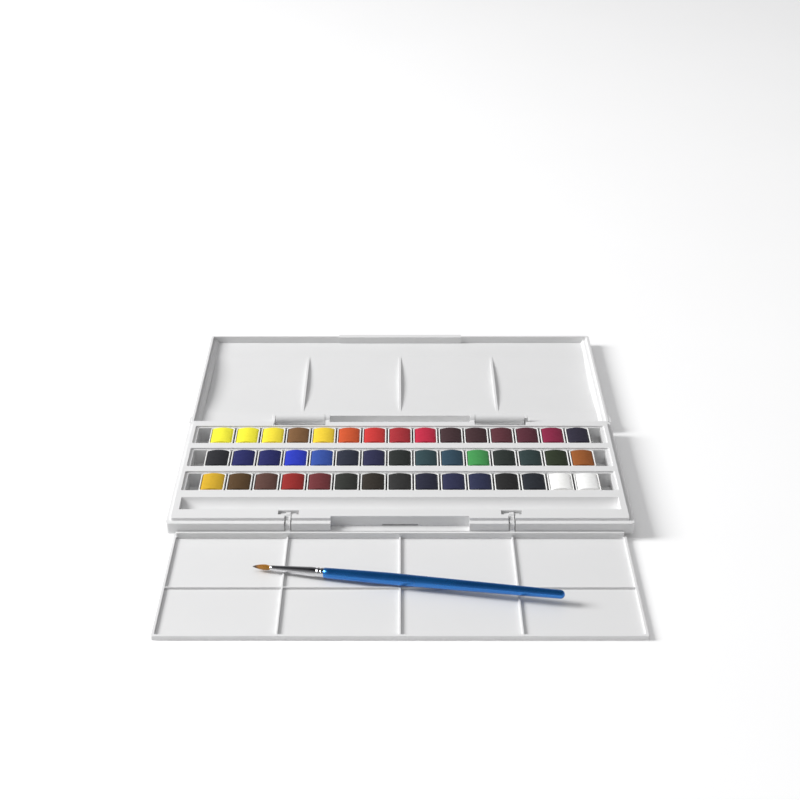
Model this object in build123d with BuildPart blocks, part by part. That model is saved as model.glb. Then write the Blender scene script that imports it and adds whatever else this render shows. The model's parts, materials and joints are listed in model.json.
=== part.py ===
# A hinged watercolour pan set: base tray, hinged mixing lid, hooked front palette, 45 half pans, a brush.
# Millimetres, +Z up, +X to the right, +Y to the back. The set lies open on a table at Z = 0.
# The origin is at the middle of the underside of the middle pan trough.
from build123d import *
from math import cos, radians, sin
import os

os.makedirs("parts", exist_ok=True)

# Half pans, which set the size of everything else
PAN_WIDTH = 16.0
PAN_DEPTH = 20.0
PAN_HEIGHT = 10.4
PAN_PITCH = 17.0
PANS_PER_ROW = 15
CUP_WALL = 0.9
CUP_FLOOR = 1.0
CUP_CORNER = 1.5
CAKE_GAP = 0.05
CAKE_SIDE_HEIGHT = 9.1
CAKE_CROWN = 1.3
CAKE_SHOULDER = 1.1

# All mouldings
EDGE_ROUND = 0.3
INNER_CORNER = 0.8
SINK = 0.2
LONG_EDGE = 12.0

# Base tray
WALL = 1.5
ROW_PITCH = 28.6
SLOT_LENGTH = 274.8
SLOT_WIDTH = 22.3
SLOT_STEP_HEIGHT = 11.5
SLOT_CORNER = 1.0
POCKET_LENGTH = 271.0
POCKET_WIDTH = 20.4
TROUGH_FLOOR = 1.3
PLATEAU_TOP = 12.7
PLATEAU_WIDTH = 280.4
PLATEAU_CORNER = 1.2
PLATEAU_FRONT = -71.0
PLATEAU_BACK = 45.05
FLANGE_TOP = 10.8
FLANGE_WIDTH = 286.0
FLANGE_CORNER = 2.0
FLANGE_FRONT = -74.4
FLANGE_BACK = 48.15
SKIRT_BOTTOM = 3.6
GROOVE_Y = -54.6
GROOVE_LENGTH = 272.0
GROOVE_WIDTH = 13.5
GROOVE_DEPTH = 4.6
RECESS_WIDTH = 84.8
RECESS_BACK = -68.9
RECESS_FLOOR = 5.4
CATCH_SLIT_WIDTH = 22.0
CATCH_SLIT_HEIGHT = 1.0

# Lid hinge
HINGE_Y = 53.95
HINGE_Z = 9.65
BARREL_RADIUS = 3.75
BARREL_X = 68.0
BARREL_LENGTH = 33.4
PIN_RADIUS = 1.5
PIN_CLEARANCE = 0.05
EAR_THICKNESS = 3.0
EAR_GAP = 0.4
NOTCH_MARGIN = 0.8
PIN_INSET = 0.5
PIN_CHAMFER = 0.2
NOTCH_FRONT = 40.85

# Lid, open
LID_HEIGHT = 8.4
LID_WALL = 2.0
LID_FLOOR = 3.2
LID_WIDTH = 286.0
LID_CORNER = 2.5
LID_BOTTOM_ROUND = 1.5
LID_NEAR = 51.7
LID_FAR = 182.0
SET_BACK_Y = 60.7
SET_BACK_HALF = 85.7
SET_BACK_WALL = 1.6
WELL_NEAR = 75.2
WELL_FAR = 157.4
WELL_DEPTH = 2.0
LID_RIB_X = 68.0
LID_RIB_WIDTH = 1.5
HANDLE_WIDTH = 92.4
LEDGE_HEIGHT = 2.4
LEDGE_WIDTH = 2.0
LEDGE_SLOPE = 1.8
GUARD_WIDTH = 1.3
GUARD_NEAR = 52.4
GUARD_FAR = 60.4
GUARD_BOTTOM = 2.0
HANDLE_NEAR = 179.2
HANDLE_FAR = 183.8

# Front palette and its two T hooks
PALETTE_WIDTH = 276.4
PALETTE_CORNER = 0.8
PALETTE_FLOOR_CORNER = 1.2
PALETTE_BACK = -74.7
PALETTE_FRONT = -172.8
PALETTE_FLOOR = 1.2
PALETTE_LIP = 2.7
PALETTE_SIDE_WALL = 1.7
PALETTE_FRONT_WALL = 1.9
PALETTE_BACK_WALL = 1.8
PALETTE_BACK_HEIGHT = 5.4
PALETTE_BACK_WIDTH = 273.4
PALETTE_BACK_CORNER = 0.6
PALETTE_RIB_WIDTH = 1.1
PALETTE_CROSS_WIDTH = 0.8
PALETTE_ROUND = 0.2
PALETTE_RIB_X = 68.5
PALETTE_CROSS_Y = -127.4
HOOK_X = 68.4
HOOK_Y = -64.9
HOOK_Z = 10.5
HOOK_RADIUS = 1.2
HOOK_EYE_RADIUS = 1.9
HOOK_LENGTH = 9.4
HOOK_SLOT_LENGTH = 12.8
HOOK_SLOT_WIDTH = 4.4
STRAP_WIDTH = 2.8
STRAP_SLOT_WIDTH = 4.4
STRAP_THICKNESS = 1.6
STRAP_ROUND = 1.2
STRAP_SLOT_REACH = 2.6
STRAP_KNEES = ((-69.9, 10.5), (-72.9, 9.1), (-73.4, 5.4), (-75.9, 4.4))

# Brush, lying across the palette's left and middle ribs
BRUSH_TIP_X = -87.1
BRUSH_TIP_Y = -109.4
BRUSH_TURN = -10.4
BRUSH_REST_GAP = 0.05
HAIR_LENGTH = 11.0
HAIR_RADIUS = 1.85
FERRULE_LENGTH = 32.3
FERRULE_TIP_RADIUS = 1.55
FERRULE_END_RADIUS = 2.9
FERRULE_WALL = 0.25
FERRULE_STRAIGHT = 8.0
CRIMP_OFFSETS = (-5.0, -2.8)
CRIMP_WIDTH = 1.2
CRIMP_DEPTH = 0.25
HAIR_POINT_RADIUS = 0.08
HAIR_ROOT = 5.0
HANDLE_LENGTH = 140.8
HANDLE_START_RADIUS = 3.1
HANDLE_BELLY_RADIUS = 3.6
HANDLE_END_RADIUS = 2.6
HANDLE_BELLY_SHARE = 0.3
HANDLE_PLUG = 7.0
PLUG_RADIUS = 2.3

# Pan names, left to right, from the back row to the front row
PAN_ROWS = (
    ("lemon_yellow", "primrose_yellow", "golden_yellow", "golden_brown", "warm_yellow",
     "orange", "scarlet", "crimson", "rose_red", "dark_maroon",
     "brown_maroon", "wine_red", "purple_wine", "magenta", "dark_violet"),
    ("blue_black", "navy_blue", "deep_navy", "ultramarine", "cobalt_blue",
     "slate_blue", "violet_navy", "black_green", "teal_green", "teal_blue",
     "bright_green", "dark_green", "dark_teal", "olive_green", "orange_brown"),
    ("yellow_ochre", "olive_brown", "umber_brown", "light_red", "indian_red",
     "grey_green", "dark_brown", "dark_grey", "midnight_blue", "indigo",
     "blue_violet", "black", "payne_grey", "white", "chinese_white"),
)

pin_inner = BARREL_X - BARREL_LENGTH / 2 - EAR_GAP - EAR_THICKNESS
pin_outer = BARREL_X + BARREL_LENGTH / 2 - PIN_INSET
ear_x = pin_inner + EAR_THICKNESS / 2
rows_y = (ROW_PITCH, 0.0, -ROW_PITCH)
surround_length = SLOT_LENGTH + 2 * WALL
surround_width = SLOT_WIDTH + 2 * WALL
trough_length = POCKET_LENGTH + 2 * WALL
trough_width = POCKET_WIDTH + 2 * WALL
hook_floor = HOOK_Z - HOOK_EYE_RADIUS - SINK
groove_radius = (GROOVE_WIDTH ** 2 / 4 + GROOVE_DEPTH ** 2) / (2 * GROOVE_DEPTH)


def y_span(front, back):
    """Middle and length of a span along Y."""
    return (front + back) / 2, back - front


flange_mid, flange_depth = y_span(FLANGE_FRONT, FLANGE_BACK)
plateau_mid, plateau_depth = y_span(PLATEAU_FRONT, PLATEAU_BACK)
recess_mid, recess_depth = y_span(FLANGE_FRONT - 1, RECESS_BACK)
block_mid, block_depth = y_span(PLATEAU_FRONT + SINK, HOOK_Y + HOOK_SLOT_WIDTH / 2 + WALL)
strap_slot_mid, strap_slot_depth = y_span(FLANGE_FRONT - 1, PLATEAU_FRONT + STRAP_SLOT_REACH)
notch_mid, notch_depth = y_span(NOTCH_FRONT, FLANGE_BACK + 1)


# Base tray: a raised deck with three pan troughs, a brush groove, a finger recess and hook slots
with BuildPart() as base_tray:
    # Flange and deck, hollow underneath
    with BuildSketch(Plane.XY.offset(SKIRT_BOTTOM)):
        with Locations((0, flange_mid)):
            RectangleRounded(FLANGE_WIDTH, flange_depth, FLANGE_CORNER)
    extrude(amount=FLANGE_TOP - SKIRT_BOTTOM)
    with BuildSketch(Plane.XY.offset(FLANGE_TOP)):
        with Locations((0, plateau_mid)):
            RectangleRounded(PLATEAU_WIDTH, plateau_depth, PLATEAU_CORNER)
    extrude(amount=PLATEAU_TOP - FLANGE_TOP)
    with BuildSketch(Plane.XY.offset(SKIRT_BOTTOM)):
        with Locations((0, flange_mid)):
            RectangleRounded(FLANGE_WIDTH - 2 * WALL, flange_depth - 2 * WALL, INNER_CORNER)
    extrude(amount=FLANGE_TOP - WALL - SKIRT_BOTTOM, mode=Mode.SUBTRACT)
    with BuildSketch(Plane.XY.offset(FLANGE_TOP - WALL)):
        with Locations((0, plateau_mid)):
            Rectangle(PLATEAU_WIDTH - 2 * WALL, plateau_depth - 2 * WALL)
    extrude(amount=PLATEAU_TOP - FLANGE_TOP, mode=Mode.SUBTRACT)

    # Trough bodies reach the table and carry the set
    with BuildSketch(Plane.XY):
        for row_y in rows_y:
            with Locations((0, row_y)):
                Rectangle(trough_length, trough_width)
    extrude(amount=PLATEAU_TOP - SINK)
    with BuildSketch(Plane.XY.offset(SLOT_STEP_HEIGHT - WALL)):
        for row_y in rows_y:
            with Locations((0, row_y)):
                Rectangle(surround_length, surround_width)
    extrude(amount=PLATEAU_TOP - SINK - SLOT_STEP_HEIGHT + WALL)

    # Groove body, finger recess walls and the blocks round the hook slots
    with BuildSketch(Plane.XY.offset(PLATEAU_TOP - GROOVE_DEPTH - WALL)):
        with Locations((0, GROOVE_Y)):
            Rectangle(GROOVE_LENGTH + 2 * WALL, GROOVE_WIDTH + 2 * WALL)
    extrude(amount=GROOVE_DEPTH)
    with BuildSketch(Plane.XY.offset(SKIRT_BOTTOM)):
        with Locations((0, (FLANGE_FRONT + RECESS_BACK + WALL) / 2)):
            Rectangle(RECESS_WIDTH + 2 * WALL, RECESS_BACK + WALL - FLANGE_FRONT)
    extrude(amount=FLANGE_TOP - SKIRT_BOTTOM - SINK)
    with BuildSketch(Plane.XY.offset(FLANGE_TOP - WALL)):
        with Locations((0, (PLATEAU_FRONT + SINK + RECESS_BACK + WALL) / 2)):
            Rectangle(RECESS_WIDTH + 2 * WALL, RECESS_BACK + WALL - PLATEAU_FRONT - SINK)
    extrude(amount=PLATEAU_TOP - FLANGE_TOP + WALL - SINK)
    with BuildSketch(Plane.XY.offset(hook_floor - WALL)):
        for side in (-1, 1):
            with Locations((side * HOOK_X, block_mid)):
                Rectangle(HOOK_SLOT_LENGTH + 2 * WALL, block_depth)
    extrude(amount=PLATEAU_TOP - SINK - hook_floor + WALL)

    # Hinge ears at the barrels' inner ends: round on the hinge axis, with an arm under the flange
    for side in (-1, 1):
        with BuildSketch(Plane.YZ.offset(side * ear_x)):
            with Locations((HINGE_Y, HINGE_Z)):
                Circle(BARREL_RADIUS)
            with Locations(((FLANGE_BACK - 1 + HINGE_Y) / 2, (HINGE_Z - BARREL_RADIUS + FLANGE_TOP) / 2)):
                Rectangle(HINGE_Y - FLANGE_BACK + 1, FLANGE_TOP - HINGE_Z + BARREL_RADIUS)
        extrude(amount=EAR_THICKNESS / 2, both=True)
        with BuildSketch(Plane.YZ.offset(side * ear_x)):
            with Locations((HINGE_Y, HINGE_Z)):
                Circle(PIN_RADIUS)
        extrude(amount=EAR_THICKNESS, both=True, mode=Mode.SUBTRACT)

    # Pan slots: a shallow surround, and the pocket that holds the pans below its step
    with BuildSketch(Plane.XY.offset(SLOT_STEP_HEIGHT)):
        for row_y in rows_y:
            with Locations((0, row_y)):
                RectangleRounded(SLOT_LENGTH, SLOT_WIDTH, SLOT_CORNER)
    extrude(amount=PLATEAU_TOP, mode=Mode.SUBTRACT)
    with BuildSketch(Plane.XY.offset(TROUGH_FLOOR)):
        for row_y in rows_y:
            with Locations((0, row_y)):
                RectangleRounded(POCKET_LENGTH, POCKET_WIDTH, SLOT_CORNER)
    extrude(amount=PLATEAU_TOP, mode=Mode.SUBTRACT)

    # Brush groove, a round-bottomed channel
    with BuildSketch(Plane.YZ.offset(-GROOVE_LENGTH / 2)):
        with Locations((GROOVE_Y, PLATEAU_TOP - GROOVE_DEPTH + groove_radius)):
            Circle(groove_radius)
    extrude(amount=GROOVE_LENGTH, mode=Mode.SUBTRACT)

    # Finger recess and the catch slit at the foot of its wall
    with BuildSketch(Plane.XY.offset(RECESS_FLOOR)):
        with Locations((0, recess_mid)):
            Rectangle(RECESS_WIDTH, recess_depth)
    extrude(amount=PLATEAU_TOP, mode=Mode.SUBTRACT)
    with BuildSketch(Plane.XY.offset(RECESS_FLOOR + SINK)):
        with Locations((0, RECESS_BACK)):
            Rectangle(CATCH_SLIT_WIDTH, 4 * WALL)
    extrude(amount=CATCH_SLIT_HEIGHT, mode=Mode.SUBTRACT)

    # T slots that hold the palette's hooks, open above and at the front
    with BuildSketch(Plane.XY.offset(hook_floor)):
        for side in (-1, 1):
            with Locations((side * HOOK_X, HOOK_Y)):
                Rectangle(HOOK_SLOT_LENGTH, HOOK_SLOT_WIDTH)
    extrude(amount=PLATEAU_TOP, mode=Mode.SUBTRACT)
    with BuildSketch(Plane.XY.offset(SKIRT_BOTTOM - 1)):
        for side in (-1, 1):
            with Locations((side * HOOK_X, strap_slot_mid)):
                Rectangle(STRAP_SLOT_WIDTH, strap_slot_depth)
    extrude(amount=PLATEAU_TOP, mode=Mode.SUBTRACT)
    with BuildSketch(Plane.XY.offset(hook_floor)):
        for side in (-1, 1):
            with Locations((side * HOOK_X, (PLATEAU_FRONT + HOOK_Y) / 2)):
                Rectangle(STRAP_SLOT_WIDTH, HOOK_Y - PLATEAU_FRONT + 1)
    extrude(amount=PLATEAU_TOP, mode=Mode.SUBTRACT)

    # Notches that clear the lid's hinge barrels
    with BuildSketch(Plane.XY.offset(-1)):
        for side in (-1, 1):
            with Locations((side * BARREL_X, notch_mid)):
                Rectangle(BARREL_LENGTH + 2 * NOTCH_MARGIN, notch_depth)
    extrude(amount=PLATEAU_TOP + 2, mode=Mode.SUBTRACT)

    # Ease the long top edges of the deck and the flange
    for level in (PLATEAU_TOP, FLANGE_TOP):
        top_edges = base_tray.edges().filter_by(GeomType.LINE).filter_by_position(Axis.Z, level, level)
        fillet(top_edges.filter_by(lambda edge: edge.length > LONG_EDGE), radius=EDGE_ROUND)

base_tray.part.label = "base_tray"
export_step(base_tray.part, "parts/base_tray.step")


# Hinge pins: two steel pins, pressed into the ears and free in the barrels
with BuildPart() as hinge_pins:
    for side in (-1, 1):
        with BuildSketch(Plane.YZ.offset(side * (pin_inner + pin_outer) / 2)):
            with Locations((HINGE_Y, HINGE_Z)):
                Circle(PIN_RADIUS)
        extrude(amount=(pin_outer - pin_inner) / 2, both=True)
    ends = hinge_pins.faces().filter_by(Axis.X)
    chamfer(ends.edges(), length=PIN_CHAMFER)

hinge_pins.part.label = "hinge_pins"
export_step(hinge_pins.part, "parts/hinge_pins.step")


# Lid: a shallow mixing tray with one long concave trough that three ribs divide into four wells
lid_mid, lid_depth = y_span(LID_NEAR, LID_FAR)
inner_mid, inner_depth = y_span(LID_NEAR + LID_WALL, LID_FAR - LID_WALL)
well_mid, well_depth = y_span(WELL_NEAR, WELL_FAR)
well_radius = (well_depth ** 2 / 4 + WELL_DEPTH ** 2) / (2 * WELL_DEPTH)
well_centre_z = LID_FLOOR - WELL_DEPTH + well_radius
lid_inner_width = LID_WIDTH - 2 * LID_WALL
lid_floor_half = lid_inner_width / 2 - LEDGE_WIDTH - LEDGE_SLOPE
handle_mid, handle_depth = y_span(HANDLE_NEAR, HANDLE_FAR)
guard_mid, guard_depth = y_span(GUARD_NEAR, GUARD_FAR)

with BuildPart() as lid:
    with BuildSketch():
        with Locations((0, lid_mid)):
            RectangleRounded(LID_WIDTH, lid_depth, LID_CORNER)
    extrude(amount=LID_HEIGHT)
    outer_rim = lid.faces().sort_by(Axis.Z)[0].edges()
    fillet(outer_rim, radius=LID_BOTTOM_ROUND)

    # Handle bar along the free edge
    with BuildSketch():
        with Locations((0, handle_mid)):
            RectangleRounded(HANDLE_WIDTH, handle_depth, INNER_CORNER)
    extrude(amount=LID_HEIGHT)

    # Interior: flat floor with rounded corners, minus the bar
    with BuildSketch(Plane.XY.offset(LID_FLOOR)):
        with Locations((0, inner_mid)):
            RectangleRounded(lid_inner_width, inner_depth, INNER_CORNER)
        with Locations((0, handle_mid)):
            Rectangle(HANDLE_WIDTH, handle_depth, mode=Mode.SUBTRACT)
    extrude(amount=LID_HEIGHT, mode=Mode.SUBTRACT)

    # A sloped ledge along the foot of each side wall
    for side in (-1, 1):
        with BuildSketch(Plane.XZ.offset(-LID_FAR + LID_WALL / 2)):
            with BuildLine():
                wall_x = side * (lid_inner_width / 2 + LID_WALL / 2)
                ledge_x = side * (lid_inner_width / 2 - LEDGE_WIDTH)
                foot_x = side * lid_floor_half
                Polyline((wall_x, LID_FLOOR - 1), (foot_x, LID_FLOOR - 1), (foot_x, LID_FLOOR),
                         (ledge_x, LID_FLOOR + LEDGE_HEIGHT), (wall_x, LID_FLOOR + LEDGE_HEIGHT),
                         (wall_x, LID_FLOOR - 1))
            make_face()
        extrude(amount=LID_FAR - LID_NEAR - LID_WALL)

    # The near edge is set back behind the hinge, and closed again by a thinner wall
    with BuildSketch(Plane.XY.offset(LID_FLOOR)):
        with Locations((0, SET_BACK_Y / 2 + LID_NEAR / 2 + 1)):
            Rectangle(2 * (SET_BACK_HALF + LID_WALL), SET_BACK_Y + SET_BACK_WALL - LID_NEAR)
    extrude(amount=LID_HEIGHT - LID_FLOOR)
    with BuildSketch(Plane.XY.offset(-1)):
        with Locations((0, (SET_BACK_Y + LID_NEAR - 2) / 2)):
            Rectangle(2 * SET_BACK_HALF, SET_BACK_Y - LID_NEAR + 2)
    extrude(amount=LID_HEIGHT + 2, mode=Mode.SUBTRACT)

    # Concave trough, cut between the ribs only
    with BuildSketch(Plane.YZ.offset(-lid_floor_half)):
        with Locations((well_mid, well_centre_z)):
            Circle(well_radius)
        with Locations((well_mid, LID_FLOOR + well_radius)):
            Rectangle(2 * well_radius + 2, 2 * well_radius, mode=Mode.SUBTRACT)
    extrude(amount=2 * lid_floor_half, mode=Mode.SUBTRACT)
    with BuildSketch(Plane.XY.offset(LID_FLOOR - WELL_DEPTH - SINK)):
        for rib_x in (-LID_RIB_X, 0, LID_RIB_X):
            with Locations((rib_x, well_mid)):
                Rectangle(LID_RIB_WIDTH, well_depth + 1)
    extrude(amount=WELL_DEPTH + SINK)

    # Ease the rim
    rim_edges = lid.edges().filter_by_position(Axis.Z, LID_HEIGHT, LID_HEIGHT)
    fillet(rim_edges, radius=EDGE_ROUND)

    # A small guard outside each near corner
    with BuildSketch(Plane.XY.offset(GUARD_BOTTOM)):
        for side in (-1, 1):
            with Locations((side * LID_WIDTH / 2, guard_mid)):
                RectangleRounded(2 * GUARD_WIDTH, guard_depth, INNER_CORNER)
    extrude(amount=LID_HEIGHT - EDGE_ROUND - GUARD_BOTTOM)

    # Hinge barrels and the webs that join them to the set-back wall
    for side in (-1, 1):
        with BuildSketch(Plane.YZ.offset(side * BARREL_X)):
            with Locations((HINGE_Y, HINGE_Z)):
                Circle(BARREL_RADIUS)
            with Locations(((HINGE_Y + SET_BACK_Y + 1) / 2, (HINGE_Z - BARREL_RADIUS + LID_HEIGHT) / 2)):
                Rectangle(SET_BACK_Y + 1 - HINGE_Y, LID_HEIGHT - HINGE_Z + BARREL_RADIUS)
        extrude(amount=BARREL_LENGTH / 2, both=True)
        with BuildSketch(Plane.YZ.offset(side * BARREL_X)):
            with Locations((HINGE_Y, HINGE_Z)):
                Circle(PIN_RADIUS + PIN_CLEARANCE)
        extrude(amount=BARREL_LENGTH / 2, both=True, mode=Mode.SUBTRACT)

lid.part.label = "lid"
export_step(lid.part, "parts/lid.step")


# Front palette: a thin tray, three ribs front to back and one across, and two T hooks
palette_mid, palette_depth = y_span(PALETTE_FRONT, PALETTE_BACK)
floor_mid, floor_depth = y_span(PALETTE_FRONT + PALETTE_FRONT_WALL, PALETTE_BACK - PALETTE_BACK_WALL)

with BuildPart() as palette:
    with BuildSketch():
        with Locations((0, palette_mid)):
            RectangleRounded(PALETTE_WIDTH, palette_depth, PALETTE_CORNER)
    extrude(amount=PALETTE_LIP)
    with BuildSketch(Plane.XY.offset(PALETTE_FLOOR)):
        with Locations((0, floor_mid)):
            RectangleRounded(PALETTE_WIDTH - 2 * PALETTE_SIDE_WALL, floor_depth, PALETTE_FLOOR_CORNER)
        for rib_x in (-PALETTE_RIB_X, 0, PALETTE_RIB_X):
            with Locations((rib_x, floor_mid)):
                Rectangle(PALETTE_RIB_WIDTH, floor_depth, mode=Mode.SUBTRACT)
        with Locations((0, PALETTE_CROSS_Y)):
            Rectangle(PALETTE_WIDTH, PALETTE_CROSS_WIDTH, mode=Mode.SUBTRACT)
    extrude(amount=PALETTE_LIP, mode=Mode.SUBTRACT)
    wall_edges = palette.edges().filter_by_position(Axis.Z, PALETTE_LIP, PALETTE_LIP)
    fillet(wall_edges, radius=PALETTE_ROUND)
    with BuildSketch():
        with Locations((0, PALETTE_BACK - PALETTE_BACK_WALL / 2)):
            RectangleRounded(PALETTE_BACK_WIDTH, PALETTE_BACK_WALL, PALETTE_BACK_CORNER)
    extrude(amount=PALETTE_BACK_HEIGHT)
    back_edges = palette.edges().filter_by_position(Axis.Z, PALETTE_BACK_HEIGHT, PALETTE_BACK_HEIGHT)
    fillet(back_edges, radius=EDGE_ROUND)

    for side in (-1, 1):
        with BuildSketch(Plane.YZ.offset(side * HOOK_X)):
            with BuildLine():
                strap_line = FilletPolyline((HOOK_Y, HOOK_Z), *STRAP_KNEES, radius=STRAP_ROUND)
                offset(strap_line, amount=STRAP_THICKNESS / 2, side=Side.BOTH)
            make_face()
        extrude(amount=STRAP_WIDTH / 2, both=True)
        with BuildSketch(Plane.YZ.offset(side * HOOK_X)):
            with Locations((HOOK_Y, HOOK_Z)):
                Circle(HOOK_EYE_RADIUS)
        extrude(amount=STRAP_WIDTH / 2, both=True)
        with BuildSketch(Plane.YZ.offset(side * HOOK_X)):
            with Locations((HOOK_Y, HOOK_Z)):
                Circle(HOOK_RADIUS)
        extrude(amount=HOOK_LENGTH / 2, both=True)

palette.part.label = "palette"
export_step(palette.part, "parts/palette.step")


# One half pan: an open cup and the cake of paint in it, whose top is arched from side to side
with BuildPart() as cup:
    with BuildSketch(Plane.XY.offset(TROUGH_FLOOR)):
        RectangleRounded(PAN_WIDTH, PAN_DEPTH, CUP_CORNER)
    extrude(amount=PAN_HEIGHT)
    with BuildSketch(Plane.XY.offset(TROUGH_FLOOR + CUP_FLOOR)):
        RectangleRounded(PAN_WIDTH - 2 * CUP_WALL, PAN_DEPTH - 2 * CUP_WALL, INNER_CORNER)
    extrude(amount=PAN_HEIGHT, mode=Mode.SUBTRACT)

cake_width = PAN_WIDTH - 2 * (CUP_WALL + CAKE_GAP)
cake_depth = PAN_DEPTH - 2 * (CUP_WALL + CAKE_GAP)
with BuildPart() as cake:
    with BuildSketch(Plane.XZ.offset(cake_depth / 2)) as cake_profile:
        with BuildLine():
            cake_bottom = TROUGH_FLOOR + CUP_FLOOR
            cake_edge = cake_bottom + CAKE_SIDE_HEIGHT
            Polyline((-cake_width / 2, cake_edge), (-cake_width / 2, cake_bottom),
                     (cake_width / 2, cake_bottom), (cake_width / 2, cake_edge))
            ThreePointArc((cake_width / 2, cake_edge), (0, cake_edge + CAKE_CROWN),
                          (-cake_width / 2, cake_edge))
        make_face()
        fillet(cake_profile.vertices().sort_by(Axis.Y)[-2:], radius=CAKE_SHOULDER)
    extrude(amount=-cake_depth)
    fillet(cake.edges().filter_by(Axis.Z), radius=INNER_CORNER - CAKE_GAP)

for pan_row, row_y in zip(PAN_ROWS, rows_y):
    for column, paint in enumerate(pan_row):
        place = Location(((column - (PANS_PER_ROW - 1) / 2) * PAN_PITCH, row_y, 0))
        half_pan = Compound([cup.part.moved(place), cake.part.moved(place)])
        half_pan.label = "pan_" + paint
        export_step(half_pan, "parts/pan_" + paint + ".step")


# Brush: its axis runs from the hair's tip; the ferrule rests on the left rib, the handle on the middle one
brush_length = HAIR_LENGTH + FERRULE_LENGTH + HANDLE_LENGTH
handle_start = HAIR_LENGTH + FERRULE_LENGTH
belly_at = handle_start + HANDLE_LENGTH * HANDLE_BELLY_SHARE
left_support = (-PALETTE_RIB_X - BRUSH_TIP_X) / cos(radians(BRUSH_TURN))
middle_support = -BRUSH_TIP_X / cos(radians(BRUSH_TURN))
ferrule_taper = FERRULE_LENGTH - FERRULE_STRAIGHT
ferrule_bore = FERRULE_TIP_RADIUS - FERRULE_WALL
ferrule_swell = (FERRULE_END_RADIUS - FERRULE_TIP_RADIUS) * (left_support - HAIR_LENGTH) / ferrule_taper
handle_taper = (HANDLE_BELLY_RADIUS - HANDLE_END_RADIUS) / (brush_length - belly_at)
handle_shrink = handle_taper * (middle_support - belly_at)
near_height = PALETTE_LIP + FERRULE_TIP_RADIUS + ferrule_swell
far_height = PALETTE_LIP + HANDLE_BELLY_RADIUS - handle_shrink
brush_slope = (far_height - near_height) / (middle_support - left_support)
tip_height = near_height - brush_slope * left_support + BRUSH_REST_GAP
brush_axis = Vector(cos(radians(BRUSH_TURN)), sin(radians(BRUSH_TURN)), brush_slope)
brush_plane = Plane(origin=(BRUSH_TIP_X, BRUSH_TIP_Y, tip_height), x_dir=brush_axis, z_dir=(0, 0, 1))
brush_side = Plane(origin=brush_plane.origin, x_dir=brush_axis, z_dir=(brush_axis.Y, -brush_axis.X, 0))
brush_line = Axis(brush_plane.origin, brush_axis)

with BuildPart() as brush_hair:
    with BuildSketch(brush_side):
        with BuildLine():
            Spline((0, HAIR_POINT_RADIUS), (HAIR_LENGTH * 0.45, HAIR_RADIUS * 0.72),
                   (HAIR_LENGTH * 0.8, HAIR_RADIUS), (HAIR_LENGTH, ferrule_bore))
            Polyline((HAIR_LENGTH, ferrule_bore), (HAIR_LENGTH + HAIR_ROOT, ferrule_bore),
                     (HAIR_LENGTH + HAIR_ROOT, 0), (0, 0), (0, HAIR_POINT_RADIUS))
        make_face()
    revolve(axis=brush_line)

brush_hair.part.label = "brush_hair"
export_step(brush_hair.part, "parts/brush_hair.step")

with BuildPart() as brush_ferrule:
    with BuildSketch(brush_side):
        with BuildLine():
            crimp_line = []
            for crimp_offset in CRIMP_OFFSETS:
                crimp = handle_start + crimp_offset
                crimp_line.append((crimp, FERRULE_END_RADIUS))
                crimp_line.append((crimp + CRIMP_WIDTH / 2, FERRULE_END_RADIUS - CRIMP_DEPTH))
                crimp_line.append((crimp + CRIMP_WIDTH, FERRULE_END_RADIUS))
            Polyline((HAIR_LENGTH, ferrule_bore), (HAIR_LENGTH, FERRULE_TIP_RADIUS),
                     (HAIR_LENGTH + ferrule_taper, FERRULE_END_RADIUS), *crimp_line,
                     (handle_start, FERRULE_END_RADIUS), (handle_start, PLUG_RADIUS),
                     (handle_start - HANDLE_PLUG, PLUG_RADIUS), (HAIR_LENGTH + HAIR_ROOT, ferrule_bore),
                     (HAIR_LENGTH, ferrule_bore))
        make_face()
    revolve(axis=brush_line)

brush_ferrule.part.label = "brush_ferrule"
export_step(brush_ferrule.part, "parts/brush_ferrule.step")

with BuildPart() as brush_handle:
    with BuildSketch(brush_side):
        with BuildLine():
            Polyline((handle_start, HANDLE_START_RADIUS), (handle_start, PLUG_RADIUS),
                     (handle_start - HANDLE_PLUG, PLUG_RADIUS), (handle_start - HANDLE_PLUG, 0),
                     (brush_length, 0))
            Spline((handle_start, HANDLE_START_RADIUS), (belly_at, HANDLE_BELLY_RADIUS),
                   tangents=((1, 0.03), (1, 0)))
            Line((belly_at, HANDLE_BELLY_RADIUS), (brush_length - HANDLE_END_RADIUS, HANDLE_END_RADIUS))
            RadiusArc((brush_length - HANDLE_END_RADIUS, HANDLE_END_RADIUS), (brush_length, 0),
                      HANDLE_END_RADIUS)
        make_face()
    revolve(axis=brush_line)

brush_handle.part.label = "brush_handle"
export_step(brush_handle.part, "parts/brush_handle.step")
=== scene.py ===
import json
import math

import bmesh
import bpy
from mathutils import Matrix, Vector, noise


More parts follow.
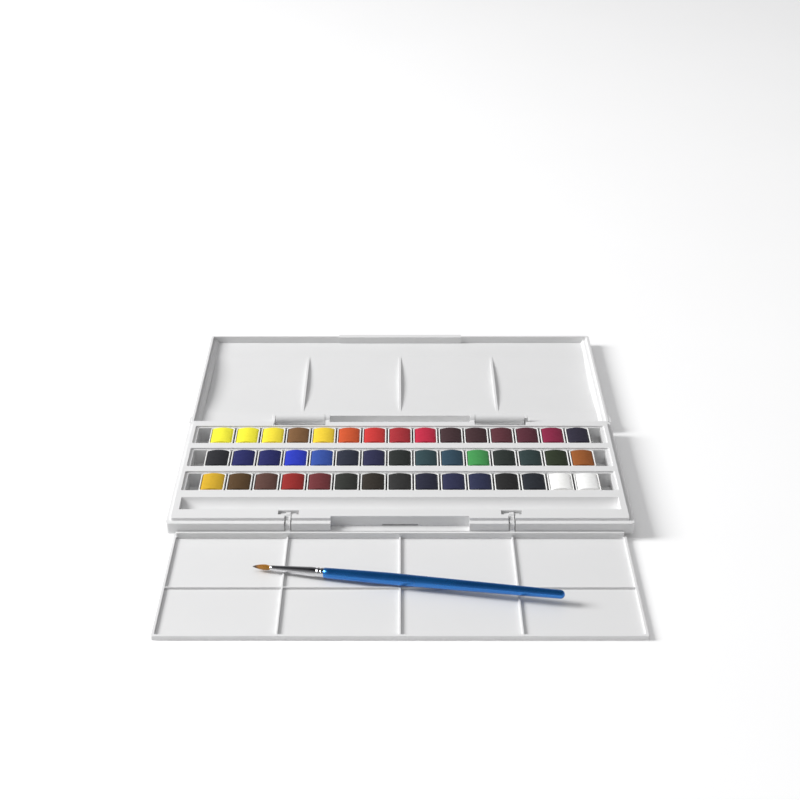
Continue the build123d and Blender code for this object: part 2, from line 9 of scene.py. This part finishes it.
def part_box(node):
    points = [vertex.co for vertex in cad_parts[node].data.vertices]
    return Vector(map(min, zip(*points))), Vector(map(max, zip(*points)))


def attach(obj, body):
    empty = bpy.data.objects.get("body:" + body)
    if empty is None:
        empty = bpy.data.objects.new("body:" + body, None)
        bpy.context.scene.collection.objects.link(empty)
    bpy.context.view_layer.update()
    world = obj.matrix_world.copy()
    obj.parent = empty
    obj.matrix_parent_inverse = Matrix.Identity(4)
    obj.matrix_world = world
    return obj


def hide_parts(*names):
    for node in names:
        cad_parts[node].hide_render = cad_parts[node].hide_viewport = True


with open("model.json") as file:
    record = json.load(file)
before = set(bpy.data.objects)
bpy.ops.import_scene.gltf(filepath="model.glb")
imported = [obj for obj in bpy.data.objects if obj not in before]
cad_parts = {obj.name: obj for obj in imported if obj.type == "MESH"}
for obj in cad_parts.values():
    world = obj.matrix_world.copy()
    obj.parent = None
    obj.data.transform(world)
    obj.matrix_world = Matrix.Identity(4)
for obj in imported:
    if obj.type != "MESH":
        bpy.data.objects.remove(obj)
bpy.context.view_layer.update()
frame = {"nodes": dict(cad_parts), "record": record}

MM = 0.001

# Half pans
CUP_TOP = 11.7 * MM
CUP_BOTTOM = 1.3 * MM
CUP_WIDTH = 16 * MM
CUP_DEPTH = 20 * MM
CUP_WALL = 0.9 * MM
CAKE_EDGE = 11.4 * MM
CAKE_CROWN = 1.3 * MM
CAKE_SHOULDER = 1.0 * MM
CAKE_END_ROUND = 0.3 * MM
CAKE_GAP = 0.05 * MM
CAKE_COLUMNS = 22
CAKE_LINES = 26
CUP_CORNER = 1.5 * MM
CUP_INNER_CORNER = 0.8 * MM
CUP_FLOOR = 1.0 * MM
RIM_STEPS = 6

# Brush: distances run along its axis from the hair's tip
BRUSH_TIP = Vector((-87.1, -109.4, 4.31)) * MM
BRUSH_TURN = math.radians(-10.4)
BRUSH_SLOPE = 0.0227
HAIR_LENGTH = 11 * MM
FERRULE_END = 43.3 * MM
BRUSH_LENGTH = 184.1 * MM
BRUSH_SIDES = 96
FERRULE_MOUTH = 1.55 * MM
FERRULE_WIDE = 2.9 * MM
CRIMP_START = FERRULE_END - 5 * MM
CRIMP_CENTRES = (CRIMP_START + 0.6 * MM, CRIMP_START + 2.8 * MM)
CRIMP_HALF_WIDTH = 0.95 * MM
CRIMP_DEPTH = 0.28 * MM
HANDLE_START = 3.1 * MM
HANDLE_BELLY = 3.6 * MM
HANDLE_END = 2.6 * MM
HANDLE_BELLY_SHARE = 0.3
PLUG_RADIUS = 2.2 * MM
PLUG_LENGTH = 6 * MM
TUFT_BELLY = 1.85 * MM
TUFT_MOUTH = 1.3 * MM
TUFT_BELLY_SHARE = 0.72
STRAND_COUNT = 420
STRAND_SEGMENTS = 14
STRAND_RADIUS = 0.085 * MM

# Stage
CAMERA_PLACE = (0, -0.8234, 0.521)
CAMERA_PITCH = 29.5
CAMERA_LENS = 66.8
WORLD_STRENGTH = 0.46

# Paint colours as they look, left to right, from the back row to the front row
PAINTS = {
    "lemon_yellow": "F5EE3C", "primrose_yellow": "F6EC3A", "golden_yellow": "F3DF3C",
    "golden_brown": "8A6440", "warm_yellow": "F0CE38", "orange": "D2582F",
    "scarlet": "D03A38", "crimson": "B2323A", "rose_red": "C82C48",
    "dark_maroon": "50383C", "brown_maroon": "50363A", "wine_red": "6A3841",
    "purple_wine": "66323F", "magenta": "962A4C", "dark_violet": "3A3648",
    "blue_black": "36373C", "navy_blue": "2E3270", "deep_navy": "2C3070",
    "ultramarine": "2C3EC4", "cobalt_blue": "3A58AE", "slate_blue": "363B4C",
    "violet_navy": "35365A", "black_green": "333836", "teal_green": "3A545A",
    "teal_blue": "385466", "bright_green": "4CA45A", "dark_green": "343C38",
    "dark_teal": "384A4A", "olive_green": "38422F", "orange_brown": "A4602F",
    "yellow_ochre": "D8AE2E", "olive_brown": "644B2F", "umber_brown": "6C4C44",
    "light_red": "A22E2C", "indian_red": "7E3A3E", "grey_green": "3C3E3A",
    "dark_brown": "3E3832", "dark_grey": "3C3C3C", "midnight_blue": "303246",
    "indigo": "36395A", "blue_violet": "353A5A", "black": "303030",
    "payne_grey": "30343C", "white": "FBFBF6", "chinese_white": "F7F7F4",
}


def linear(code):
    """Scene-linear colour for a six-digit display colour."""
    parts = [int(code[i:i + 2], 16) / 255 for i in (0, 2, 4)]
    return [c / 12.92 if c <= 0.04045 else ((c + 0.055) / 1.055) ** 2.4 for c in parts] + [1.0]


# ---- materials ----

def new_material(name):
    """A node material with its tree and its Principled shader."""
    material = bpy.data.materials.new(name)
    material.use_nodes = True
    shader = material.node_tree.nodes["Principled BSDF"]
    return material, material.node_tree, shader


def add_noise(tree, scale, detail=3.0, stretch=(1, 1, 1)):
    """A noise pattern in the object's own space, in metres."""
    place = tree.nodes.new("ShaderNodeTexCoord")
    mapping = tree.nodes.new("ShaderNodeMapping")
    mapping.inputs["Scale"].default_value = stretch
    pattern = tree.nodes.new("ShaderNodeTexNoise")
    pattern.inputs["Scale"].default_value = scale
    pattern.inputs["Detail"].default_value = detail
    tree.links.new(place.outputs["Object"], mapping.inputs["Vector"])
    tree.links.new(mapping.outputs["Vector"], pattern.inputs["Vector"])
    return pattern.outputs["Fac"]


def add_range(tree, value, low, high):
    """Maps a 0 to 1 pattern to a range."""
    node = tree.nodes.new("ShaderNodeMapRange")
    node.inputs["From Min"].default_value = 0.3
    node.inputs["From Max"].default_value = 0.7
    node.inputs["To Min"].default_value = low
    node.inputs["To Max"].default_value = high
    tree.links.new(value, node.inputs["Value"])
    return node.outputs["Result"]


def add_mix(tree, value, first, second):
    """Blends two colours by a 0 to 1 pattern."""
    node = tree.nodes.new("ShaderNodeMix")
    node.data_type = "RGBA"
    node.inputs["A"].default_value = first
    node.inputs["B"].default_value = second
    tree.links.new(value, node.inputs["Factor"])
    return node.outputs["Result"]


def add_bump(tree, shader, height, distance, strength=1.0):
    """Bump from a pattern, with its depth in metres."""
    node = tree.nodes.new("ShaderNodeBump")
    node.inputs["Strength"].default_value = strength
    node.inputs["Distance"].default_value = distance
    tree.links.new(height, node.inputs["Height"])
    tree.links.new(node.outputs["Normal"], shader.inputs["Normal"])


def white_plastic(name, light, dark, rough):
    """Moulded white plastic: a faint flow mottle, fine texture and uneven gloss."""
    material, tree, shader = new_material(name)
    colour = add_mix(tree, add_noise(tree, 45, 2), linear(light), linear(dark))
    tree.links.new(colour, shader.inputs["Base Color"])
    gloss = add_range(tree, add_noise(tree, 160, 4), rough - 0.05, rough + 0.05)
    tree.links.new(gloss, shader.inputs["Roughness"])
    add_bump(tree, shader, add_noise(tree, 2600, 2), 0.00001, 0.5)
    shader.inputs["Specular IOR Level"].default_value = 0.45
    return material


def cup_plastic():
    """Thin cup plastic: the rim is white, and the walls below it are painted greyer as painted shade for the
    dark gaps between neighbouring pans.
    """
    material, tree, shader = new_material("cup_plastic")
    place = tree.nodes.new("ShaderNodeTexCoord")
    split = tree.nodes.new("ShaderNodeSeparateXYZ")
    tree.links.new(place.outputs["Object"], split.inputs["Vector"])
    # Mask for the painted shade: 0 on the walls, rising to 1 over the top millimetre at the white rim
    height = tree.nodes.new("ShaderNodeMapRange")
    height.inputs["From Min"].default_value = CUP_TOP - 1.0 * MM
    height.inputs["From Max"].default_value = CUP_TOP - 0.3 * MM
    tree.links.new(split.outputs["Z"], height.inputs["Value"])
    rim = add_mix(tree, add_noise(tree, 300, 2), linear("F4F4F2"), linear("EDEDEB"))
    # Painted shade: the walls below the rim get a grey colour in place of the shadow in the gaps between
    # pans; the plastic itself is white all over
    painted_shade_wall = tree.nodes.new("ShaderNodeMix")
    painted_shade_wall.data_type = "RGBA"
    painted_shade_wall.inputs["A"].default_value = linear("A2A2A2")
    tree.links.new(height.outputs["Result"], painted_shade_wall.inputs["Factor"])
    tree.links.new(rim, painted_shade_wall.inputs["B"])
    tree.links.new(painted_shade_wall.outputs["Result"], shader.inputs["Base Color"])
    tree.links.new(add_range(tree, add_noise(tree, 260, 3), 0.24, 0.34), shader.inputs["Roughness"])
    return material


def shifted(colour, factor, lift=0.0):
    """The colour scaled and lifted, alpha kept."""
    return [min(1.0, c * factor + lift) for c in colour[:3]] + [1.0]


def dried_paint(name, code):
    """Dried watercolour: pigment mottle, a satin skin with duller patches, and a fine grain."""
    material, tree, shader = new_material(name)
    base = linear(code)
    keep = 0.6 + 0.33 * max(base[:3])
    colour = add_mix(tree, add_noise(tree, 520, 5), shifted(base, keep), shifted(base, keep * 1.22, 0.001))
    tree.links.new(colour, shader.inputs["Base Color"])
    gloss = add_range(tree, add_noise(tree, 380, 4), 0.42, 0.66)
    tree.links.new(gloss, shader.inputs["Roughness"])
    add_bump(tree, shader, add_noise(tree, 1500, 6), 0.00004, 0.6)
    shader.inputs["Specular IOR Level"].default_value = 0.22
    return material


def pin_steel():
    """Drawn steel wire with fine lengthwise scratches."""
    material, tree, shader = new_material("pin_steel")
    shader.inputs["Metallic"].default_value = 1.0
    scratches = add_noise(tree, 900, 4, (0.05, 1, 1))
    colour = add_mix(tree, scratches, (0.42, 0.42, 0.44, 1), (0.66, 0.66, 0.68, 1))
    tree.links.new(colour, shader.inputs["Base Color"])
    tree.links.new(add_range(tree, scratches, 0.22, 0.4), shader.inputs["Roughness"])
    return material


def ferrule_chrome():
    """Plated brass with faint polishing marks."""
    material, tree, shader = new_material("ferrule_chrome")
    shader.inputs["Metallic"].default_value = 1.0
    marks = add_noise(tree, 700, 3)
    colour = add_mix(tree, marks, (0.72, 0.72, 0.74, 1), (0.86, 0.86, 0.87, 1))
    tree.links.new(colour, shader.inputs["Base Color"])
    tree.links.new(add_range(tree, marks, 0.08, 0.17), shader.inputs["Roughness"])
    return material


def blue_lacquer():
    """Pearly blue lacquer under a clear coat, with slight depth changes along the wood."""
    material, tree, shader = new_material("blue_lacquer")
    depth = add_noise(tree, 120, 4, (0.25, 1, 1))
    colour = add_mix(tree, depth, (0.015, 0.17, 0.58, 1), (0.022, 0.24, 0.72, 1))
    tree.links.new(colour, shader.inputs["Base Color"])
    shader.inputs["Metallic"].default_value = 0.85
    tree.links.new(add_range(tree, depth, 0.2, 0.3), shader.inputs["Roughness"])
    shader.inputs["Coat Weight"].default_value = 0.8
    shader.inputs["Coat Roughness"].default_value = 0.06
    return material


def brush_filament():
    """Golden-brown filaments that darken to the point; the tone follows each strand's own length."""
    material, tree, shader = new_material("brush_filament")
    along = tree.nodes.new("ShaderNodeAttribute")
    along.attribute_name = "along"
    ramp = tree.nodes.new("ShaderNodeValToRGB")
    stops = ((0.0, (0.012, 0.010, 0.010, 1)), (0.17, (0.06, 0.03, 0.014, 1)),
             (0.34, (0.46, 0.19, 0.02, 1)), (0.75, (0.56, 0.25, 0.03, 1)), (1.0, (0.66, 0.32, 0.05, 1)))
    ramp.color_ramp.elements[0].position = stops[0][0]
    ramp.color_ramp.elements[0].color = stops[0][1]
    ramp.color_ramp.elements[1].position = stops[-1][0]
    ramp.color_ramp.elements[1].color = stops[-1][1]
    for position, tone in stops[1:-1]:
        ramp.color_ramp.elements.new(position).color = tone
    tree.links.new(along.outputs["Fac"], ramp.inputs["Fac"])
    mottle = tree.nodes.new("ShaderNodeMix")
    mottle.data_type = "RGBA"
    mottle.blend_type = "MULTIPLY"
    mottle.inputs["Factor"].default_value = 0.5
    tree.links.new(ramp.outputs["Color"], mottle.inputs["A"])
    tree.links.new(add_noise(tree, 2500, 2, (0.1, 1, 1)), mottle.inputs["B"])
    tree.links.new(mottle.outputs["Result"], shader.inputs["Base Color"])
    shader.inputs["Roughness"].default_value = 0.38
    return material


# ---- mesh helpers ----

def make_piece(name, mesh_data, material, body):
    """A finished piece from a bmesh, on its body and in its material slot."""
    mesh = bpy.data.meshes.new(name)
    mesh_data.to_mesh(mesh)
    mesh_data.free()
    mesh.materials.append(material)
    for face in mesh.polygons:
        face.use_smooth = True
    piece = bpy.data.objects.new(name, mesh)
    bpy.context.collection.objects.link(piece)
    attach(piece, body)
    return piece


def rounded_outline(width, depth, radius, steps=4):
    """Corner-rounded rectangle about the origin, anticlockwise."""
    points = []
    for quarter in range(4):
        angle = quarter * math.pi / 2
        sx = 1 if quarter in (0, 3) else -1
        sy = 1 if quarter in (0, 1) else -1
        cx = sx * (width / 2 - radius)
        cy = sy * (depth / 2 - radius)
        for step in range(steps + 1):
            turn = angle + step / steps * math.pi / 2
            points.append((cx + radius * math.cos(turn), cy + radius * math.sin(turn)))
    return points


def bridge_rings(mesh, rings):
    """Quads between rings of equal length."""
    for lower, upper in zip(rings, rings[1:]):
        count = len(lower)
        for i in range(count):
            j = (i + 1) % count
            mesh.faces.new((lower[i], lower[j], upper[j], upper[i]))


def body_of_node(node):
    """The body that holds a node."""
    for name, nodes in frame["record"]["behaviour"]["bodies"].items():
        if node in nodes:
            return name


# ---- half pans ----

def cup_mesh(centre):
    """An open cup with a rolled rim, a filleted foot and slightly rounded walls."""
    mesh = bmesh.new()
    half = CUP_WALL / 2
    # Inset from the outside, height and corner radius of each ring, from the foot up and over the rim
    profile = [(0.5 * MM, CUP_BOTTOM, 1.1 * MM), (0.12 * MM, CUP_BOTTOM + 0.12 * MM, 1.4 * MM),
               (0, CUP_BOTTOM + 0.5 * MM, CUP_CORNER), (0, CUP_TOP - half, CUP_CORNER)]
    for step in range(1, RIM_STEPS):
        turn = math.pi * step / RIM_STEPS
        profile.append((half - half * math.cos(turn), CUP_TOP - half + half * math.sin(turn),
                        CUP_CORNER - half))
    profile += [(CUP_WALL, CUP_TOP - half, CUP_INNER_CORNER),
                (CUP_WALL, CUP_BOTTOM + CUP_FLOOR, CUP_INNER_CORNER)]
    rings = []
    for inset, height, radius in profile:
        outline = rounded_outline(CUP_WIDTH - 2 * inset, CUP_DEPTH - 2 * inset, radius)
        rings.append([mesh.verts.new((centre.x + x, centre.y + y, height)) for x, y in outline])
    bridge_rings(mesh, rings)
    mesh.faces.new(list(reversed(rings[0])))
    mesh.faces.new(rings[-1])
    return mesh


def cake_mesh(centre, seed):
    """A cake of paint: arched from side to side, its edges eased, its skin a little uneven."""
    mesh = bmesh.new()
    width = CUP_WIDTH - 2 * (CUP_WALL + CAKE_GAP)
    depth = CUP_DEPTH - 2 * (CUP_WALL + CAKE_GAP)

    def spaced(i, count, span):
        """Places along a side, closer together near its ends."""
        return -span / 2 * math.cos(math.pi * i / count)

    grid = []
    for j in range(CAKE_LINES + 1):
        y = spaced(j, CAKE_LINES, depth)
        row = []
        for i in range(CAKE_COLUMNS + 1):
            x = spaced(i, CAKE_COLUMNS, width)
            arch = CAKE_CROWN * (1 - (2 * x / width) ** 2)
            near_side = width / 2 - abs(x)
            near_end = depth / 2 - abs(y)
            ease = 0
            for gap, reach in ((near_side, CAKE_SHOULDER), (near_end, CAKE_END_ROUND)):
                if gap < reach:
                    ease += reach - math.sqrt(reach ** 2 - (reach - gap) ** 2)
            ripple = noise.noise(Vector((x * 260 + seed * 7.3, y * 260, seed * 3.1)))
            fine = noise.noise(Vector((x * 900 + seed * 5.7, y * 900, seed * 1.7)))
            rise = arch - ease + (ripple * 0.07 + fine * 0.02) * MM
            height = min(CAKE_EDGE + rise, CAKE_EDGE + CAKE_CROWN)
            row.append(mesh.verts.new((centre.x + x, centre.y + y, height)))
        grid.append(row)
    for j in range(CAKE_LINES):
        for i in range(CAKE_COLUMNS):
            mesh.faces.new((grid[j][i], grid[j][i + 1], grid[j + 1][i + 1], grid[j + 1][i]))
    border = grid[0] + [row[-1] for row in grid[1:]] + grid[-1][-2::-1] + [row[0] for row in grid[-2:0:-1]]
    floor = [mesh.verts.new((v.co.x, v.co.y, CUP_BOTTOM + CUP_FLOOR + CAKE_GAP)) for v in border]
    bridge_rings(mesh, [floor, border])
    mesh.faces.new(list(reversed(floor)))
    return mesh


def build_pans(plastic):
    """Every pan: its cup and its cake, in place of its CAD node."""
    for seed, (paint, code) in enumerate(PAINTS.items()):
        node = "pan_" + paint
        low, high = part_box(node)
        centre = (Vector(low) + Vector(high)) / 2
        body = body_of_node(node)
        cup = make_piece("cup_" + paint, cup_mesh(centre), plastic, body)
        cake = make_piece("cake_" + paint, cake_mesh(centre, seed), dried_paint("paint_" + paint, code),
                          body)
        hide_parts(node)
        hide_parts(node)
        sharpen(cake, 40)
        sharpen(cup, 40)


def sharpen(piece, degrees):
    """Smooth shading that breaks at edges sharper than the angle."""
    mesh = bmesh.new()
    mesh.from_mesh(piece.data)
    for edge in mesh.edges:
        edge.smooth = len(edge.link_faces) == 2 and edge.calc_face_angle(0) < math.radians(degrees)
    bmesh.ops.recalc_face_normals(mesh, faces=mesh.faces)
    mesh.to_mesh(piece.data)
    mesh.free()


# ---- brush ----

def brush_matrix():
    """Turns a piece made along +X from the origin into the brush's place."""
    along = Vector((math.cos(BRUSH_TURN), math.sin(BRUSH_TURN), BRUSH_SLOPE)).normalized()
    across = Vector((0, 0, 1)).cross(along).normalized()
    above = along.cross(across)
    turn = Matrix((along, across, above)).transposed().to_4x4()
    return Matrix.Translation(BRUSH_TIP) @ turn


def lathe(profile):
    """A solid of revolution about the brush's axis, from (distance, radius) pairs."""
    mesh = bmesh.new()
    rings = []
    for distance, radius in profile:
        ring = []
        for i in range(BRUSH_SIDES):
            turn = 2 * math.pi * i / BRUSH_SIDES
            ring.append(mesh.verts.new((distance, radius * math.cos(turn), radius * math.sin(turn))))
        rings.append(ring)
    bridge_rings(mesh, rings)
    mesh.faces.new(list(reversed(rings[0])))
    mesh.faces.new(rings[-1])
    mesh.transform(brush_matrix())
    bmesh.ops.recalc_face_normals(mesh, faces=mesh.faces)
    return mesh


def handle_profile():
    """Handle radii: a quick swell to the belly, a long taper and a rounded end."""
    belly_at = FERRULE_END + (BRUSH_LENGTH - FERRULE_END) * HANDLE_BELLY_SHARE
    points = [(FERRULE_END - PLUG_LENGTH, PLUG_RADIUS), (FERRULE_END - 0.02 * MM, PLUG_RADIUS),
              (FERRULE_END, HANDLE_START - 0.25 * MM), (FERRULE_END + 0.25 * MM, HANDLE_START)]
    for step in range(1, 13):
        share = step / 12
        swell = math.sin(share * math.pi / 2)
        points.append((FERRULE_END + (belly_at - FERRULE_END) * share,
                       HANDLE_START + (HANDLE_BELLY - HANDLE_START) * swell))
    last = BRUSH_LENGTH - HANDLE_END
    for step in range(1, 15):
        share = step / 14
        points.append((belly_at + (last - belly_at) * share,
                       HANDLE_BELLY + (HANDLE_END - HANDLE_BELLY) * share))
    for step in range(1, 9):
        turn = step / 8 * math.pi / 2
        points.append((last + HANDLE_END * math.sin(turn), max(HANDLE_END * math.cos(turn), 0.02 * MM)))
    return points


def ferrule_profile():
    """Ferrule radii: a rolled mouth, a seamless taper and two crimp grooves before the handle."""
    points = [(HAIR_LENGTH + 3 * MM, FERRULE_MOUTH - 0.3 * MM), (HAIR_LENGTH, FERRULE_MOUTH - 0.28 * MM),
              (HAIR_LENGTH - 0.02 * MM, FERRULE_MOUTH - 0.12 * MM), (HAIR_LENGTH + 0.12 * MM, FERRULE_MOUTH)]
    taper = CRIMP_START - 3 * MM - HAIR_LENGTH
    for step in range(1, 13):
        share = step / 12
        points.append((HAIR_LENGTH + taper * share, FERRULE_MOUTH + (FERRULE_WIDE - FERRULE_MOUTH) * share))
    for groove in CRIMP_CENTRES:
        for step in range(-6, 7):
            share = step / 6
            dip = CRIMP_DEPTH * (0.5 + 0.5 * math.cos(math.pi * share))
            points.append((groove + share * CRIMP_HALF_WIDTH, FERRULE_WIDE - dip))
    points += [(FERRULE_END - 0.12 * MM, FERRULE_WIDE), (FERRULE_END, FERRULE_WIDE - 0.1 * MM),
               (FERRULE_END, 2.3 * MM)]
    return points


def tuft_radius(share):
    """Radius of the tuft from its tip, 0, to the ferrule's mouth, 1: a drawn point and a full belly."""
    if share < TUFT_BELLY_SHARE:
        return TUFT_BELLY * math.sin(share / TUFT_BELLY_SHARE * math.pi / 2) ** 0.8
    fall = (share - TUFT_BELLY_SHARE) / (1 - TUFT_BELLY_SHARE)
    return TUFT_MOUTH + (TUFT_BELLY - TUFT_MOUTH) * (0.5 + 0.5 * math.cos(math.pi * fall))


def tuft_mesh():
    """Fine strands laid on and in the tuft's shape, each a thin tapered tube, over a solid core."""
    mesh = bmesh.new()
    along = mesh.verts.layers.float.new("along")
    golden = math.pi * (3 - math.sqrt(5))
    for strand in range(STRAND_COUNT):
        depth = 0.55 + 0.43 * ((strand * 0.618034) % 1.0)
        turn = strand * golden
        stop = 0.012 + 0.16 * ((strand * 0.7548777) % 1.0) ** 3
        sway = 0.10 * noise.noise(Vector((strand * 0.37, 2.1, 0.4)))
        rings = []
        for step in range(STRAND_SEGMENTS + 1):
            share = 1.12 - (1.12 - stop) * step / STRAND_SEGMENTS
            radius = tuft_radius(min(share, 1.0)) * depth
            thick = STRAND_RADIUS * (1 - 0.82 * (step / STRAND_SEGMENTS) ** 2)
            angle = turn + sway * (1 - share)
            centre = Vector((share * HAIR_LENGTH, radius * math.cos(angle), radius * math.sin(angle)))
            outward = Vector((0, math.cos(angle), math.sin(angle)))
            side = Vector((0, -math.sin(angle), math.cos(angle)))
            ring = []
            for corner in range(4):
                around = corner * math.pi / 2
                vert = mesh.verts.new(centre + (outward * math.cos(around) + side * math.sin(around)) * thick)
                vert[along] = min(max(share, 0.0), 1.0)
                ring.append(vert)
            rings.append(ring)
        bridge_rings(mesh, rings)
        mesh.faces.new(list(reversed(rings[0])))
        mesh.faces.new(rings[-1])
    core = []
    for step in range(15):
        share = 0.03 + 1.05 * step / 14
        radius = tuft_radius(min(share, 1.0)) * 0.86
        ring = []
        for i in range(24):
            angle = 2 * math.pi * i / 24
            vert = mesh.verts.new((share * HAIR_LENGTH, radius * math.cos(angle), radius * math.sin(angle)))
            vert[along] = min(share, 1.0) * 0.9
            ring.append(vert)
        core.append(ring)
    bridge_rings(mesh, core)
    mesh.faces.new(list(reversed(core[0])))
    mesh.faces.new(core[-1])
    mesh.transform(brush_matrix())
    bmesh.ops.recalc_face_normals(mesh, faces=mesh.faces)
    return mesh


def build_brush():
    """Hair, ferrule and handle, each in place of its CAD node."""
    tuft = make_piece("brush_tuft", tuft_mesh(), brush_filament(), "brush")
    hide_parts("brush_hair")
    ferrule = make_piece("ferrule_tube", lathe(ferrule_profile()), ferrule_chrome(), "brush")
    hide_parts("brush_ferrule")
    handle = make_piece("handle_turned", lathe(handle_profile()), blue_lacquer(), "brush")
    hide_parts("brush_handle")
    for piece in (tuft, ferrule, handle):
        sharpen(piece, 50)


# ---- CAD nodes that stay ----

def finish_mouldings():
    """The three white mouldings and the pins keep their CAD shape and get their materials."""
    looks = {
        "base_tray": white_plastic("tray_plastic", "E4E4E4", "E1E1E1", 0.36),
        "lid": white_plastic("lid_plastic", "E4E4E4", "E1E1E1", 0.33),
        "palette": white_plastic("palette_plastic", "E4E4E4", "E2E2E2", 0.36),
        "hinge_pins": pin_steel(),
    }
    for node, material in looks.items():
        for place in frame["nodes"][node].material_slots:
            place.material = material


# ---- stage ----

def build_stage():
    """A pale floor, soft studio light from the left and above, and the camera."""
    floor_mesh = bmesh.new()
    bmesh.ops.create_grid(floor_mesh, x_segments=1, y_segments=1, size=6)
    mesh = bpy.data.meshes.new("floor")
    floor_mesh.to_mesh(mesh)
    floor_mesh.free()
    material, tree, shader = new_material("floor_paper")
    colour = add_mix(tree, add_noise(tree, 8, 2), (0.93, 0.93, 0.93, 1), (0.95, 0.95, 0.95, 1))
    tree.links.new(colour, shader.inputs["Base Color"])
    shader.inputs["Roughness"].default_value = 0.9
    # The studio sweep is lit from below too, which keeps the shadows pale
    shader.inputs["Emission Color"].default_value = (1, 1, 1, 1)
    shader.inputs["Emission Strength"].default_value = 0.08
    mesh.materials.append(material)
    floor = bpy.data.objects.new("floor", mesh)
    floor.location.z = -0.0002
    bpy.context.collection.objects.link(floor)

    def lamp(name, place, aim, size, watts, mirrored=True):
        light = bpy.data.lights.new(name, "AREA")
        light.shape = "RECTANGLE"
        light.size, light.size_y = size
        light.energy = watts
        item = bpy.data.objects.new(name, light)
        item.location = place
        item.rotation_euler = (Vector(aim) - Vector(place)).to_track_quat("-Z", "Y").to_euler()
        item.visible_glossy = mirrored
        bpy.context.collection.objects.link(item)

    lamp("key_left", (-3.0, 0.05, 1.84), (0, 0, 0), (1.0, 1.5), 150)
    lamp("top", (-0.2, 0.3, 2.0), (0, 0, 0), (2.2, 2.2), 9, mirrored=False)

    world = bpy.data.worlds.new("studio")
    bpy.context.scene.world = world
    world.use_nodes = True
    nodes = world.node_tree
    # What glossy surfaces mirror: a pale horizon in front, dark above and behind
    direction = nodes.nodes.new("ShaderNodeTexCoord")
    split = nodes.nodes.new("ShaderNodeSeparateXYZ")
    ramp = nodes.nodes.new("ShaderNodeValToRGB")
    ramp.color_ramp.elements[0].position = 0.02
    ramp.color_ramp.elements[0].color = (0.9, 0.9, 0.9, 1)
    ramp.color_ramp.elements[1].position = 0.97
    ramp.color_ramp.elements[1].color = (0.03, 0.03, 0.035, 1)
    ramp.color_ramp.elements.new(0.45).color = (0.5, 0.5, 0.51, 1)
    ramp.color_ramp.elements.new(0.72).color = (0.24, 0.24, 0.25, 1)
    paths = nodes.nodes.new("ShaderNodeLightPath")
    choice = nodes.nodes.new("ShaderNodeMix")
    choice.data_type = "RGBA"
    choice.inputs["A"].default_value = (0.64, 0.64, 0.65, 1)
    nodes.links.new(direction.outputs["Generated"], split.inputs["Vector"])
    nodes.links.new(split.outputs["Z"], ramp.inputs["Fac"])
    nodes.links.new(paths.outputs["Is Glossy Ray"], choice.inputs["Factor"])
    nodes.links.new(ramp.outputs["Color"], choice.inputs["B"])
    nodes.links.new(choice.outputs["Result"], nodes.nodes["Background"].inputs["Color"])
    nodes.nodes["Background"].inputs["Strength"].default_value = WORLD_STRENGTH

    camera_data = bpy.data.cameras.new("camera")
    camera_data.sensor_width = 36
    camera_data.lens = CAMERA_LENS
    camera_data.clip_start = 0.01
    camera = bpy.data.objects.new("camera", camera_data)
    camera.location = CAMERA_PLACE
    camera.rotation_euler = (math.radians(90 - CAMERA_PITCH), 0, 0)
    bpy.context.collection.objects.link(camera)
    bpy.context.scene.camera = camera
    bpy.context.scene.view_settings.view_transform = "Standard"


build_stage()
finish_mouldings()
build_pans(cup_plastic())
build_brush()
